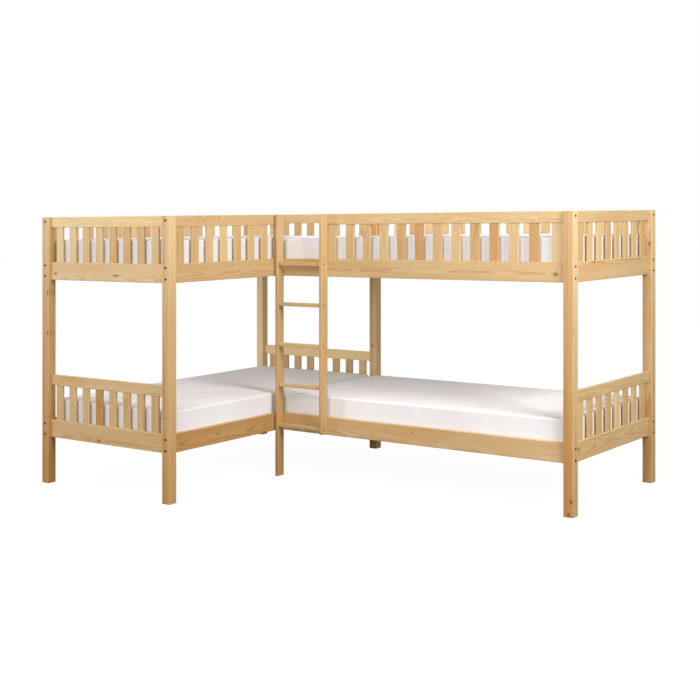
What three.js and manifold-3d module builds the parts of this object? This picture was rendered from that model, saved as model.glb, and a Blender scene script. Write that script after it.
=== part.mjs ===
// Corner bunk bed: two pine bunks joined in an L, with a ladder and four mattresses.
// Millimetres, +Z up. X runs from left to right, Y from front to back.
// Bunk A is the left arm and runs along Y. Bunk B is the right arm and runs along X.
// The origin is at floor height, under the centre of the whole bed.

import * as THREE from "three";
import { mergeVertices } from "three/addons/utils/BufferGeometryUtils.js";
import Module from "manifold-3d";

const wasm = await Module();
wasm.setup();

// Mattress
const mattress_length = 1905;
const mattress_width = 965;
const mattress_thickness = 165;
const mattress_end_play = 3;
const mattress_side_play = 4;
const mattress_post_play = 3;
const mattress_edge_radius = 12;
const mattress_crown = 4;
const mattress_side_draw = 2;
const mattress_corner_round_share = 0.15;
const mattress_corner_ease_share = 0.52;
const mattress_corner_least_share = 0.2;
const mattress_edge_shares = [0, 0.38, 0.75, 1];
const mattress_crown_shares = [0.25, 0.5, 0.8];

// Posts and boards
const post_side = 57;
const post_edge = 2;
const board_edge = 1.5;
const joint_gap = 0.3;
const side_rail_thickness = 20;
const side_rail_setback = 17.5;
const panel_thickness = 18;
const panel_setback = 18.5;
const bottom_rail_height = 104;
const top_rail_height = 62;
const slat_opening = 202;

// Heights of the two levels
const lower_rail_bottom = 270;
const upper_rail_bottom = 1194;
const lower_deck_rise = 58;
const upper_deck_rise = 71;

// Slats of the end panels and the guards
const slat_width = 57.5;
const slat_thickness = 12;
const slat_edge = 1.5;
const panel_end_gap = 46;
const panel_slat_pitch = 112;
const stile_width = 75;
const guard_end_gap = 75;
const rear_guard_end_gap = 52;
const left_guard_front_gap = 64;
const left_guard_rear_gap = 44;
const left_guard_rear_stile = 65;
const guard_slat_pitch = 119.4;
const short_guard_front_stile = 80;
const short_guard_rear_stile = 70;
const short_guard_end_gap = 59.5;
const short_guard_slat_pitch = 118.2;

// Ledgers and slat decks
const ledger_width = 22;
const ledger_height = 30;
const deck_slats = 14;
const deck_slat_width = 70;
const deck_slat_thickness = 18;
const deck_side_play = 2;
const deck_end_play = 3;
const strap_width = 30;
const strap_thickness = 2;
const strap_bite = 0.5;
const strap_inset = 230;
const strap_edge_share = 0.25;
const strap_end_share = 0.25;

// Ladder
const ladder_board_thickness = 22;
const ladder_board_depth = 57;
const ladder_offset = 8.5;
const ladder_opening = 310;
const ladder_foot_lift = 6;
const rung_count = 5;
const rung_pitch = 240.5;
const first_rung_height = 306;
const rung_height = 22;
const rung_depth = 22;
const rung_setback = 5;
const ladder_toe_radius = 14;

// Steel corner brackets
const bracket_leg = 40;
const bracket_thickness = 2.4;
const bracket_height = 26;
const bracket_lift = 3;

// Sizes that follow
const bunk_width = mattress_width + 2 * (mattress_side_play + side_rail_thickness + side_rail_setback);
const bunk_length = mattress_length + 2 * (mattress_end_play + panel_thickness + panel_setback);
const panel_height = bottom_rail_height + slat_opening + top_rail_height;
const bed_height = upper_rail_bottom + panel_height;
const divider_face = bunk_width - side_rail_setback;
const divider_inner = divider_face - side_rail_thickness;
const bed_length = divider_face + mattress_length + 2 * mattress_end_play + panel_thickness + panel_setback;
const b_front = bunk_length - bunk_width;
const b_rail_face = b_front + side_rail_setback;
const b_rail_inner = b_rail_face + side_rail_thickness;

const bed = new THREE.Group();
bed.position.set(-bed_length / 2, -bunk_length / 2, 0);

// Materials
function finish(color, roughness, metalness) {
  return new THREE.MeshStandardMaterial({ color, roughness, metalness });
}
const looks = {
  post: () => finish(0xd9b27a, 0.45, 0),
  rail: () => finish(0xdcb783, 0.45, 0),
  slat: () => finish(0xe0be8c, 0.45, 0),
  deck: () => finish(0xe2c79b, 0.6, 0),
  steel: () => finish(0x352c27, 0.4, 1),
  cloth: () => finish(0xf1efee, 0.9, 0),
};

function add(name, look, geometry) {
  const mesh = new THREE.Mesh(geometry, looks[look]());
  mesh.name = name;
  bed.add(mesh);
  return mesh;
}

// A rectangle with its corners cut at 45 degrees, centred on the origin
function eased_outline(width, depth, edge) {
  const w = width / 2;
  const d = depth / 2;
  const points = [
    [w - edge, -d], [w, -d + edge], [w, d - edge], [w - edge, d],
    [-w + edge, d], [-w, d - edge], [-w, -d + edge], [-w + edge, -d],
  ];
  return new THREE.Shape(points.map(([x, y]) => new THREE.Vector2(x, y)));
}

// A board between two corners, running along one axis, with its long edges eased.
// With eased ends, the edges of the ends are cut too.
function board(low, high, axis, edge, eased_ends = true) {
  const size = high.map((value, i) => value - low[i]);
  const centre = high.map((value, i) => (value + low[i]) / 2);
  const along = "xyz".indexOf(axis);
  const across = [1, 2, 0][along];
  const up = [2, 0, 1][along];
  const end = eased_ends ? edge : 0;
  const outline = eased_outline(size[across] - 2 * end, size[up] - 2 * end, edge);
  const geometry = new THREE.ExtrudeGeometry(outline, {
    depth: size[along] - 2 * end,
    steps: 1,
    bevelEnabled: eased_ends,
    bevelThickness: end,
    bevelSize: end,
    bevelSegments: 1,
  });
  geometry.translate(0, 0, -size[along] / 2 + end);
  const frame = new THREE.Matrix4();
  const unit = (i) => new THREE.Vector3().setComponent(i, 1);
  frame.makeBasis(unit(across), unit(up), unit(along));
  geometry.applyMatrix4(frame);
  geometry.translate(...centre);
  return geometry;
}

function solid(geometry) {
  const bare = geometry.clone();
  bare.deleteAttribute("normal");
  bare.deleteAttribute("uv");
  const merged = mergeVertices(bare);
  return new wasm.Manifold(new wasm.Mesh({
    numProp: 3,
    vertProperties: new Float32Array(merged.attributes.position.array),
    triVerts: new Uint32Array(merged.index.array),
  }));
}

function joined(geometries) {
  const whole = geometries.map(solid).reduce((sum, piece) => sum.add(piece));
  const mesh = whole.getMesh();
  const geometry = new THREE.BufferGeometry();
  geometry.setAttribute("position", new THREE.BufferAttribute(mesh.vertProperties, 3));
  geometry.setIndex(new THREE.BufferAttribute(mesh.triVerts, 1));
  geometry.computeVertexNormals();
  return geometry;
}

// Places a box by where it lies along a run, across it and in height.
// A run along "y" belongs to bunk A, and one along "x" to bunk B or to a panel.
function box_of(axis, along, across, height) {
  const [x, y] = axis === "x" ? [along, across] : [across, along];
  return [[x[0], y[0], height[0]], [x[1], y[1], height[1]]];
}

function run_board(axis, along, across, height, edge = board_edge) {
  const [low, high] = box_of(axis, along, across, height);
  return board(low, high, axis, edge);
}

// Posts
function post(name, left, front) {
  const low = [left, front, 0];
  const high = [left + post_side, front + post_side, bed_height];
  add(name, "post", board(low, high, "z", post_edge));
}

function posts() {
  post("post_a_front_left", 0, 0);
  post("post_a_front_right", bunk_width - post_side, 0);
  post("post_a_rear_left", 0, bunk_length - post_side);
  post("post_a_rear_right", bunk_width - post_side, bunk_length - post_side);
  post("post_b_front_right", bed_length - post_side, b_front);
  post("post_b_rear_right", bed_length - post_side, bunk_length - post_side);
}

// Top rail with the slats and stiles that hang from it, as one glued frame.
// Each slat is given by its two edges along the run.
function slatted_top(axis, along, across, rail_bottom, slats) {
  const slats_bottom = rail_bottom + bottom_rail_height + joint_gap;
  const top_bottom = rail_bottom + bottom_rail_height + slat_opening;
  const middle = (across[0] + across[1]) / 2;
  const slat_across = [middle - slat_thickness / 2, middle + slat_thickness / 2];
  const rail = run_board(axis, along, across, [top_bottom, rail_bottom + panel_height]);
  const uprights = slats.map((edges) => {
    const bite = top_bottom + top_rail_height / 2;
    const [low, high] = box_of(axis, edges, slat_across, [slats_bottom, bite]);
    return board(low, high, "z", slat_edge, false);
  });
  return joined([rail, ...uprights]);
}

// Slats spread evenly over a clear width, as near to the wanted pitch as whole slats allow
function spread_slats(start, end, pitch) {
  const travel = end - start - slat_width;
  const spaces = Math.max(1, Math.round(travel / pitch));
  const starts = Array.from({ length: spaces + 1 }, (_, i) => start + i * travel / spaces);
  return starts.map((left) => [left, left + slat_width]);
}

// End panels: the same panel at both levels, three times
function end_panel(name, axis, along, across) {
  const levels = { lower: lower_rail_bottom, upper: upper_rail_bottom };
  const slats = spread_slats(along[0] + panel_end_gap, along[1] - panel_end_gap, panel_slat_pitch);
  for (const [level, rail_bottom] of Object.entries(levels)) {
    const height = [rail_bottom, rail_bottom + bottom_rail_height];
    add(`${name}_${level}_bottom_rail`, "rail", run_board(axis, along, across, height));
    const top = slatted_top(axis, along, across, rail_bottom, slats);
    add(`${name}_${level}_slatted_top`, "slat", top);
  }
}

function between_posts(low, high) {
  return [low + post_side + joint_gap, high - post_side - joint_gap];
}

function end_panels() {
  const front = [panel_setback, panel_setback + panel_thickness];
  const rear = front.map((value) => bunk_length - value).reverse();
  const right = front.map((value) => bed_length - value).reverse();
  end_panel("panel_a_front", "x", between_posts(0, bunk_width), front);
  end_panel("panel_a_rear", "x", between_posts(0, bunk_width), rear);
  end_panel("panel_b_right", "y", between_posts(b_front, bunk_length), right);
}

// Side rails at both levels, and the runs that the rails and guards share
const a_run = between_posts(0, bunk_length);
const b_front_run = [divider_face + joint_gap, bed_length - post_side - joint_gap];
const b_rear_run = [bunk_width + joint_gap, bed_length - post_side - joint_gap];
const a_left_line = [side_rail_setback, side_rail_setback + side_rail_thickness];
const a_right_line = [divider_inner, divider_face];
const b_front_line = [b_rail_face, b_rail_inner];
const b_rear_line = a_left_line.map((value) => bunk_length - value).reverse();
const sides = [
  { name: "a_left", axis: "y", run: a_run, line: a_left_line, inward: 1 },
  { name: "a_right", axis: "y", run: a_run, line: a_right_line, inward: -1 },
  { name: "b_front", axis: "x", run: b_front_run, line: b_front_line, inward: 1 },
  { name: "b_rear", axis: "x", run: b_rear_run, line: b_rear_line, inward: -1 },
];

function side_rails() {
  for (const side of sides) {
    const low = [lower_rail_bottom, lower_rail_bottom + bottom_rail_height];
    const high = [upper_rail_bottom, upper_rail_bottom + bottom_rail_height];
    add(`rail_${side.name}_lower`, "rail", run_board(side.axis, side.run, side.line, low));
    add(`rail_${side.name}_upper`, "rail", run_board(side.axis, side.run, side.line, high));
  }
}

// Guards: two stiles, and slats spread evenly between them
function guard_slats(run, stiles, end_gaps, pitch) {
  const first_stile = [run[0], run[0] + stiles[0]];
  const last_stile = [run[1] - stiles[1], run[1]];
  const slats = spread_slats(first_stile[1] + end_gaps[0], last_stile[0] - end_gaps[1], pitch);
  return [first_stile, last_stile, ...slats];
}

const ladder_left = divider_face + ladder_offset;
const ladder_inner_left = ladder_left + ladder_board_thickness;
const ladder_inner_right = ladder_inner_left + ladder_opening;
const ladder_front = b_rail_face - joint_gap - ladder_board_depth;

function guards() {
  const [a_left, a_right, b_front_side, b_rear] = sides;
  const a_right_run = [a_right.run[0], b_rail_inner];
  const b_front_guard_run = [ladder_inner_right, b_front_side.run[1]];
  const even_stiles = [stile_width, stile_width];
  const left_stiles = [stile_width, left_guard_rear_stile];
  const short_stiles = [short_guard_front_stile, short_guard_rear_stile];
  const left_gaps = [left_guard_front_gap, left_guard_rear_gap];
  const short_gaps = [short_guard_end_gap, short_guard_end_gap];
  const front_gaps = [guard_end_gap, guard_end_gap];
  const rear_gaps = [rear_guard_end_gap, rear_guard_end_gap];
  const guard = (side, run, stiles, end_gaps, pitch) => {
    const slats = guard_slats(run, stiles, end_gaps, pitch);
    const top = slatted_top(side.axis, run, side.line, upper_rail_bottom, slats);
    add(`guard_${side.name}`, "slat", top);
  };
  guard(a_left, a_left.run, left_stiles, left_gaps, guard_slat_pitch);
  guard(a_right, a_right_run, short_stiles, short_gaps, short_guard_slat_pitch);
  guard(b_front_side, b_front_guard_run, even_stiles, front_gaps, guard_slat_pitch);
  guard(b_rear, b_rear.run, even_stiles, rear_gaps, guard_slat_pitch);
}

// Ledgers: one strip inside each side rail, at both levels
function ledgers() {
  const levels = {
    lower: lower_rail_bottom + lower_deck_rise,
    upper: upper_rail_bottom + upper_deck_rise,
  };
  for (const [level, deck_top] of Object.entries(levels)) {
    const top = deck_top - deck_slat_thickness - joint_gap;
    for (const side of sides) {
      const inner = side.inward > 0 ? side.line[1] + joint_gap : side.line[0] - joint_gap;
      const across = [inner, inner + side.inward * ledger_width].sort((p, q) => p - q);
      const start = side.name === "b_front" ? side.run[0] + bracket_leg + joint_gap : side.run[0];
      const strip = run_board(side.axis, [start, side.run[1]], across, [top - ledger_height, top]);
      add(`ledger_${side.name}_${level}`, "deck", strip);
    }
  }
}

// Slat decks: cross slats held in line by two straps under them
function slat_deck(name, axis, run, inner, deck_top) {
  const first = run[0] + deck_end_play;
  const last = run[1] - deck_end_play - deck_slat_width;
  const step = (last - first) / (deck_slats - 1);
  const across = [inner[0] + deck_side_play, inner[1] - deck_side_play];
  const bottom = deck_top - deck_slat_thickness;
  const cross_axis = axis === "x" ? "y" : "x";
  const slats = Array.from({ length: deck_slats }, (_, i) => {
    const along = [first + i * step, first + i * step + deck_slat_width];
    const [low, high] = box_of(axis, along, across, [bottom, deck_top]);
    return board(low, high, cross_axis, slat_edge, false);
  });
  const strap_end = strap_end_share * deck_slat_width;
  const strap_run = [first + strap_end, last + deck_slat_width - strap_end];
  const strap_height = [bottom - strap_thickness, bottom + strap_bite];
  const strap_starts = [across[0] + strap_inset, across[1] - strap_inset - strap_width];
  const straps = strap_starts.map((start) => {
    const [low, high] = box_of(axis, strap_run, [start, start + strap_width], strap_height);
    return board(low, high, axis, strap_edge_share * strap_thickness, false);
  });
  add(name, "deck", joined([...slats, ...straps]));
}

// The two clear rectangles that hold the decks and the mattresses
const a_inner = [side_rail_setback + side_rail_thickness, divider_inner];
const b_inner = [b_rail_inner, bunk_length - side_rail_setback - side_rail_thickness];
const levels_of_decks = {
  lower: lower_rail_bottom + lower_deck_rise,
  upper: upper_rail_bottom + upper_deck_rise,
};

function slat_decks() {
  for (const [level, deck_top] of Object.entries(levels_of_decks)) {
    slat_deck(`slat_deck_a_${level}`, "y", a_run, a_inner, deck_top);
    slat_deck(`slat_deck_b_${level}`, "x", b_rear_run, b_inner, deck_top);
  }
}

// How deep a post stands in the corner of the place for a mattress
function depth_of_post(setback, thickness, play) {
  return Math.max(0, post_side - setback - thickness - play);
}
const post_depth_across = depth_of_post(side_rail_setback, side_rail_thickness, mattress_side_play);
const post_depth_along = depth_of_post(panel_setback, panel_thickness, mattress_end_play);
const mattress_corner_cut = post_depth_across + post_depth_along + Math.SQRT2 * mattress_post_play;

// The softened end of one straight, at a point where the outline turns by 45 degrees
function eased_turn(turn, before, after) {
  const ease = (value, i) => value + mattress_corner_ease_share * ((before[i] + after[i]) / 2 - value);
  return [before, turn.map(ease), after];
}

// A corner of a mattress, cut at 45 degrees to pass its post: from the side to the end
function mattress_corner(hx, hy, cut) {
  const round = mattress_corner_round_share * cut;
  const slant = round / Math.SQRT2;
  return [
    ...eased_turn([hx, hy - cut], [hx, hy - cut - round], [hx - slant, hy - cut + slant]),
    ...eased_turn([hx - cut, hy], [hx - cut + slant, hy - slant], [hx - cut - round, hy]),
  ];
}

// A mattress outline: four cut corners, and sides that draw in a little between them
function mattress_ring(half_x, half_y, inset, height) {
  const side_steps = 6;
  const hx = half_x - inset;
  const hy = half_y - inset;
  const narrowed = mattress_corner_cut - (2 - Math.SQRT2) * inset;
  const cut = Math.max(narrowed, mattress_corner_least_share * mattress_corner_cut);
  const corner = mattress_corner(hx, hy, cut);
  const side_end = corner[0][1];
  const end_start = corner[corner.length - 1][0];
  const points = [];
  const quarters = [[1, 1], [-1, 1], [-1, -1], [1, -1]];
  for (const [quarter, [sx, sy]] of quarters.entries()) {
    const even = quarter % 2 === 0;
    const path = even ? corner : [...corner].reverse();
    points.push(...path.map(([x, y]) => [sx * x, sy * y]));
    for (let i = 1; i < side_steps; i += 1) {
      const t = 2 * i / side_steps - 1;
      const draw = mattress_side_draw * (1 - t * t);
      if (even) {
        points.push([-sx * t * end_start, sy * (hy - draw)]);
      } else {
        points.push([sx * (hx - draw), -sy * t * side_end]);
      }
    }
  }
  return points.map(([x, y]) => [x, y, height]);
}

function mattress_geometry(size_x, size_y) {
  const edge = mattress_edge_radius;
  const shoulder = mattress_thickness - mattress_crown;
  const rings = [];
  const ring = (inset, height) => {
    rings.push(mattress_ring(size_x / 2, size_y / 2, inset, height));
  };
  for (const share of mattress_edge_shares) {
    const angle = share * Math.PI / 2;
    ring(edge * (1 - Math.sin(angle)), edge * (1 - Math.cos(angle)));
  }
  ring(mattress_side_draw, mattress_thickness / 2);
  for (const share of mattress_edge_shares) {
    const angle = share * Math.PI / 2;
    ring(edge * (1 - Math.cos(angle)), shoulder - edge * (1 - Math.sin(angle)));
  }
  const crown_span = Math.min(size_x, size_y) / 2;
  for (const share of mattress_crown_shares) {
    ring(share * crown_span, shoulder + mattress_crown * Math.sin(share * Math.PI / 2));
  }
  const positions = rings.flat();
  const count = rings[0].length;
  const bottom_centre = positions.push([0, 0, 0]) - 1;
  const top_centre = positions.push([0, 0, mattress_thickness]) - 1;
  const faces = [];
  for (let i = 0; i < count; i += 1) {
    const j = (i + 1) % count;
    faces.push(bottom_centre, j, i);
    for (let k = 0; k < rings.length - 1; k += 1) {
      const low = k * count;
      const high = low + count;
      faces.push(low + i, low + j, high + j, low + i, high + j, high + i);
    }
    const last = (rings.length - 1) * count;
    faces.push(top_centre, last + i, last + j);
  }
  const geometry = new THREE.BufferGeometry();
  geometry.setAttribute("position", new THREE.Float32BufferAttribute(positions.flat(), 3));
  geometry.setIndex(faces);
  geometry.computeVertexNormals();
  return geometry;
}

function mattresses() {
  const a_centre = [(a_inner[0] + a_inner[1]) / 2, bunk_length / 2];
  const b_left = divider_face + mattress_end_play;
  const b_centre = [b_left + mattress_length / 2, (b_inner[0] + b_inner[1]) / 2];
  for (const [level, deck_top] of Object.entries(levels_of_decks)) {
    const rest = deck_top + joint_gap;
    const a = add(`mattress_a_${level}`, "cloth", mattress_geometry(mattress_width, mattress_length));
    a.position.set(...a_centre, rest);
    const b = add(`mattress_b_${level}`, "cloth", mattress_geometry(mattress_length, mattress_width));
    b.position.set(...b_centre, rest);
  }
}

// The ladder's short board: its lower front corner is rounded off.
// The outline is drawn with Y to the right and Z up, and runs along X.
function short_ladder_board(left, bottom) {
  const e = board_edge;
  const r = ladder_toe_radius;
  const outline = new THREE.Shape();
  outline.moveTo(ladder_front + e + r, bottom + e);
  outline.lineTo(ladder_front + ladder_board_depth - e, bottom + e);
  outline.lineTo(ladder_front + ladder_board_depth - e, bed_height - e);
  outline.lineTo(ladder_front + e, bed_height - e);
  outline.lineTo(ladder_front + e, bottom + e + r);
  outline.absarc(ladder_front + e + r, bottom + e + r, r, Math.PI, 1.5 * Math.PI, false);
  const geometry = new THREE.ExtrudeGeometry(outline, {
    depth: ladder_board_thickness - 2 * e,
    curveSegments: 5,
    bevelEnabled: true,
    bevelThickness: e,
    bevelSize: e,
    bevelSegments: 1,
  });
  const frame = new THREE.Matrix4();
  frame.makeBasis(new THREE.Vector3(0, 1, 0), new THREE.Vector3(0, 0, 1), new THREE.Vector3(1, 0, 0));
  geometry.applyMatrix4(frame);
  geometry.translate(left + e, 0, 0);
  return geometry;
}

// Ladder: a long board that stands on the floor, a short board and the rungs between
function ladder() {
  const low = [ladder_left, ladder_front, 0];
  const high = [ladder_inner_left, ladder_front + ladder_board_depth, bed_height];
  add("ladder_leg_left", "post", board(low, high, "z", board_edge));
  const short_bottom = lower_rail_bottom + ladder_foot_lift;
  add("ladder_side_right", "post", short_ladder_board(ladder_inner_right, short_bottom));
  for (let i = 0; i < rung_count; i += 1) {
    const middle = first_rung_height + i * rung_pitch;
    const front = ladder_front + rung_setback;
    const low = [ladder_inner_left + joint_gap, front, middle - rung_height / 2];
    const high = [ladder_inner_right - joint_gap, front + rung_depth, middle + rung_height / 2];
    add(`ladder_rung_${i + 1}`, "rail", board(low, high, "x", board_edge));
  }
}

// Steel angles in the inner corner, under the decks, that tie bunk B's front rails to bunk A
function corner_brackets() {
  const levels = { lower: lower_rail_bottom, upper: upper_rail_bottom };
  const x = divider_face + joint_gap;
  const y = b_rail_inner + joint_gap;
  for (const [level, rail_bottom] of Object.entries(levels)) {
    const z = rail_bottom + bracket_lift;
    const outline = new THREE.Shape([
      new THREE.Vector2(x, y),
      new THREE.Vector2(x + bracket_leg, y),
      new THREE.Vector2(x + bracket_leg, y + bracket_thickness),
      new THREE.Vector2(x + bracket_thickness, y + bracket_thickness),
      new THREE.Vector2(x + bracket_thickness, y + bracket_leg),
      new THREE.Vector2(x, y + bracket_leg),
    ]);
    const geometry = new THREE.ExtrudeGeometry(outline, { depth: bracket_height, bevelEnabled: false });
    geometry.translate(0, 0, z);
    add(`corner_bracket_${level}`, "steel", geometry);
  }
}

posts();
end_panels();
side_rails();
guards();
ledgers();
slat_decks();
mattresses();
ladder();
corner_brackets();

export default bed;
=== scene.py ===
# Corner bunk bed in clear pine with four mattresses: finishes, fastenings, camera and light.
# Metres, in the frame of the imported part: +X right along bunk B, +Y to the wall, +Z up.

import math
import random

import bmesh
import bpy
from mathutils import Matrix, Vector


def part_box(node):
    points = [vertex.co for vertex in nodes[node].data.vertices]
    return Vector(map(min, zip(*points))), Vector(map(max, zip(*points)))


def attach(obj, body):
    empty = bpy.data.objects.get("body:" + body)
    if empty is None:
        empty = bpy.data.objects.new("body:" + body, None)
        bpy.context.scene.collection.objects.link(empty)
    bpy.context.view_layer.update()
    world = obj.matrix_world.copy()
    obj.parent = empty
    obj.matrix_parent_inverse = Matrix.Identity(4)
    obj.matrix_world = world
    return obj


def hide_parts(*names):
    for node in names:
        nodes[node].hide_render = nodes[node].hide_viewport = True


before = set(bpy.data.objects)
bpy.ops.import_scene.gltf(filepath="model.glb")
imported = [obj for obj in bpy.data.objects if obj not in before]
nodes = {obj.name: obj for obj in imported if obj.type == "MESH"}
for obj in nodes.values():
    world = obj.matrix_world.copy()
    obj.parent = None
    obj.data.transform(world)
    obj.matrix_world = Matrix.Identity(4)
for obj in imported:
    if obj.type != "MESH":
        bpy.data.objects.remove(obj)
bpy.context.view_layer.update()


def size_of(name):
    low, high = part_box(name)
    return high - low


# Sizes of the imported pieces
POST_SIDE = size_of("post_a_front_left").x
TOP_RAIL_HEIGHT = 0.062
SLAT_WIDTH = 0.0575
SLAT_THICKNESS = 0.012
DECK_SLATS = 14
DECK_SLAT_WIDTH = 0.070
DECK_SLAT_THICKNESS = 0.018
STRAP_WIDTH = 0.030
STRAP_INSET = 0.230
BRACKET_THICKNESS = 0.0024
RUNGS = 5

# Bolts, screws and staples
BOLT_HEIGHTS = [0.288, 0.349, 1.2165, 1.278, 1.5365]
BOLT_RADIUS = 0.0066
BOLT_PROUD = 0.0024
BOLT_SEGMENTS = 18
SCREW_RADIUS = 0.0044
SCREW_PROUD = 0.0009
SCREW_SEGMENTS = 12
SOCKET_SHARE = 0.5
SOCKET_DEPTH_SHARE = 0.8
HEAD_DOME_SHARE = 0.7
SUNK = 0.001
LEDGER_SCREW_SPACING = 0.28
BRACKET_SCREW_INSET = 0.013
STAPLE_WIRE = 0.0005
STAPLE_WIDTH = 0.011
STAPLE_SIDES = 6
STAPLE_BEND_SHARE = 0.6
STAPLE_SUNK_SHARE = 0.4
STAPLE_SHIFT = 0.016


def paint(red, green, blue):
    """A screen colour from 0 to 255 as the linear colour that the shaders want."""
    shares = [value / 255 for value in (red, green, blue)]
    linear = [((s + 0.055) / 1.055) ** 2.4 if s > 0.04045 else s / 12.92 for s in shares]
    return (*linear, 1.0)


# Camera: level, at the photograph's viewing angle, with its slight upright lean
IMAGE_SIDE = 700
SENSOR = 36
FOCUS_PIXELS = 1245.76
HORIZON_ROW = 215.36
CAMERA_PLACE = Vector((4.3506, -5.8048, 1.5516))
CAMERA_TURN = math.radians(36.6178)
CAMERA_LEAN = -0.0120


def photo_camera():
    data = bpy.data.cameras.new("photo_camera")
    data.sensor_width = SENSOR
    data.lens = FOCUS_PIXELS * SENSOR / IMAGE_SIDE
    data.shift_y = -(IMAGE_SIDE / 2 - HORIZON_ROW) / IMAGE_SIDE
    camera = bpy.data.objects.new("photo_camera", data)
    stand = bpy.data.objects.new("camera_stand", None)
    for thing in (camera, stand):
        bpy.context.scene.collection.objects.link(thing)
    forward = Vector((-math.sin(CAMERA_TURN), math.cos(CAMERA_TURN), 0))
    up = Vector((0, 0, 1))
    right = Vector((math.cos(CAMERA_TURN), math.sin(CAMERA_TURN), 0)) + up * CAMERA_LEAN
    columns = [right, up, -forward, CAMERA_PLACE]
    rows = [[column[i] for column in columns] for i in range(3)]
    camera.parent = stand
    camera.matrix_parent_inverse = Matrix([*rows, [0, 0, 0, 1]])
    bpy.context.scene.camera = camera


photo_camera()


class Recipe:
    """Adds shader nodes to a tree. Every step takes numbers or sockets and gives back a socket."""

    def __init__(self, tree):
        self.tree = tree

    def node(self, kind, **settings):
        made = self.tree.nodes.new("ShaderNode" + kind)
        for name, value in settings.items():
            setattr(made, name, value)
        return made

    def feed(self, socket, value):
        if isinstance(value, bpy.types.NodeSocket):
            self.tree.links.new(value, socket)
        else:
            socket.default_value = value

    def sum(self, operation, *values):
        made = self.node("Math", operation=operation)
        for socket, value in zip(made.inputs, values):
            self.feed(socket, value)
        return made.outputs[0]

    def scale(self, value, low, high, new_low=0.0, new_high=1.0, smooth=True):
        made = self.node("MapRange", interpolation_type="SMOOTHSTEP" if smooth else "LINEAR")
        made.clamp = True
        for socket, number in zip(made.inputs, (value, low, high, new_low, new_high)):
            self.feed(socket, number)
        return made.outputs[0]

    def pick(self, share, first, second):
        made = self.node("Mix", data_type="FLOAT")
        self.feed(made.inputs[0], share)
        self.feed(made.inputs[2], first)
        self.feed(made.inputs[3], second)
        return made.outputs[0]

    def tint(self, share, first, second, mode="MIX"):
        made = self.node("Mix", data_type="RGBA", blend_type=mode)
        self.feed(made.inputs[0], share)
        self.feed(made.inputs[6], first)
        self.feed(made.inputs[7], second)
        return made.outputs[2]

    def vector(self, x, y, z):
        made = self.node("CombineXYZ")
        for socket, value in zip(made.inputs, (x, y, z)):
            self.feed(socket, value)
        return made.outputs[0]

    def parts(self, vector):
        made = self.node("SeparateXYZ")
        self.feed(made.inputs[0], vector)
        return list(made.outputs)

    def cloud(self, vector, scale, detail=2.0, roughness=0.5):
        made = self.node("TexNoise", noise_dimensions="3D")
        self.feed(made.inputs["Vector"], vector)
        made.inputs["Scale"].default_value = scale
        made.inputs["Detail"].default_value = detail
        made.inputs["Roughness"].default_value = roughness
        return made.outputs[0]

    def chance(self, value):
        made = self.node("TexWhiteNoise", noise_dimensions="1D")
        self.feed(made.inputs["W"], value)
        return made.outputs[0]

    def bump(self, height, strength, distance):
        made = self.node("Bump")
        made.inputs["Strength"].default_value = strength
        made.inputs["Distance"].default_value = distance
        self.feed(made.inputs["Height"], height)
        return made.outputs["Normal"]


# Pine: a board is cut from a log whose heart runs beside it, so rings show on every face
PINE_EARLY = paint(214, 187, 141)
PINE_LATE = paint(191, 149, 95)
PINE_KNOT = paint(104, 62, 28)
PINE_KNOT_HEART = paint(142, 96, 50)
PINE_PALE = paint(247, 217, 158)

# Shares that darken or warm the colour under them
PINE_DARK = (0.74, 0.50, 0.22, 1)
PINE_ROSY = (1.0, 0.9, 0.85, 1)
PINE_STRAW = (0.95, 0.97, 0.86, 1)
PINE_WARM = (0.94, 0.86, 0.74, 1)
PINE_THREAD = (0.91, 0.86, 0.78, 1)
KNOT_HALO = (0.86, 0.68, 0.48, 1)

# Growth rings, and how drift, ripple and knots bend them
RING_WIDTH = 0.0046
RING_DRIFT = 0.05
RING_RIPPLE = 0.006
KNOT_PUSH = 1.5
KNOT_PUSH_FALL = -0.16
SEED_STRIDE = 7.31

# Weights of the board's own tone, and of its patches, and of its paler edges: wear and a painted highlight
DARK_WEIGHT = 0.6
PALE_WEIGHT = 0.9
STRAW_WEIGHT = 0.8
ROSY_WEIGHT = 0.75
WARM_WEIGHT = 0.8
WEAR_AND_HIGHLIGHT_WEIGHT = 0.35
DARKEST_TONE = 1.6
WORN_AND_HIGHLIT_EDGE = (0.0012, 0.004)

# Lacquer: roughness of the early wood, and what late wood, fibre and wear add to it
LACQUER_GLOSS = 0.46
LATE_GLOSS = -0.07
FIBRE_GLOSS = 0.14
WORN_GLOSS = 0.1
LACQUER_COAT = 0.1
LACQUER_COAT_GLOSS = 0.35
GRAIN_BUMP = 0.25
GRAIN_DEPTH = 0.0004

KNOT_PARTS = ("Along", "Across", "Size", "Length")
BOARD_INPUTS = [
    "Along", "Across", "Through", "Tone", "Seed", "Heart Across", "Heart Through", "Edge",
    "Knot A Along", "Knot A Across", "Knot A Size", "Knot A Length",
    "Knot B Along", "Knot B Across", "Knot B Size", "Knot B Length",
]


def knot_in(recipe, along, across, place):
    """How far a point is from a knot, in knot radii. A long knot is a lens along the grain."""
    knot_along, knot_across, size, length = place
    d_along = recipe.sum("DIVIDE", recipe.sum("SUBTRACT", along, knot_along), length)
    d_across = recipe.sum("SUBTRACT", across, knot_across)
    square = recipe.sum("MULTIPLY_ADD", d_along, d_along, recipe.sum("MULTIPLY", d_across, d_across))
    return recipe.sum("DIVIDE", recipe.sum("SQRT", square), size)


def ring_push(recipe, distance, size):
    """The rings bend round a knot."""
    square = recipe.sum("MULTIPLY", distance, distance)
    fall = recipe.sum("EXPONENT", recipe.sum("MULTIPLY", square, KNOT_PUSH_FALL))
    return recipe.sum("MULTIPLY", fall, recipe.sum("MULTIPLY", size, KNOT_PUSH))


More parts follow.
